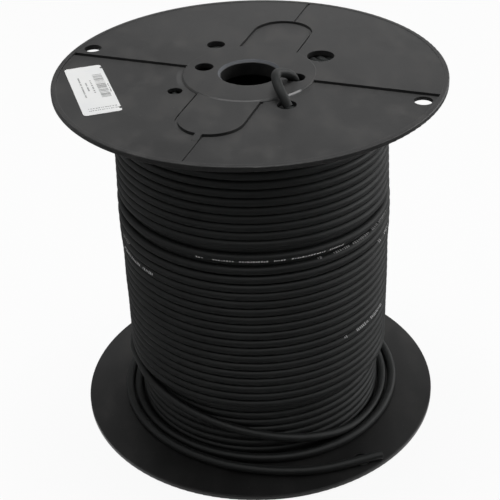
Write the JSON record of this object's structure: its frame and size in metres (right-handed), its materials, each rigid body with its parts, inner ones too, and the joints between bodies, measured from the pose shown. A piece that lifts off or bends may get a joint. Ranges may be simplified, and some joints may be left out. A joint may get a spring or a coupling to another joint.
{
  "type": "wound cable reel",
  "caption": "Black moulded plastic reel with round flanges and an arbor bore, standing on one flange and wound full with black round cable.",
  "frame": {"origin": "centre of the lower flange's outer face, on the surface that the reel stands on", "axes": "+Z along the reel's axis, up through the arbor bore; +X to the right and +Y away from the viewer of the front view"},
  "size_m": [0.2666, 0.2666, 0.2781],
  "materials": {
    "reel_plastic": "satin black moulded plastic with light handling marks",
    "cable_jacket": "soft matt black jacket",
    "label_paper": "white self-adhesive paper with meaningless bars"
  },
  "bodies": {
    "root": {"upper_flange": "reel_plastic", "lower_flange": "reel_plastic", "barrel": "reel_plastic", "cable_winding": "cable_jacket", "loose_end": "cable_jacket", "start_loop": "cable_jacket", "label": "label_paper"}
  },
  "joints": []
}
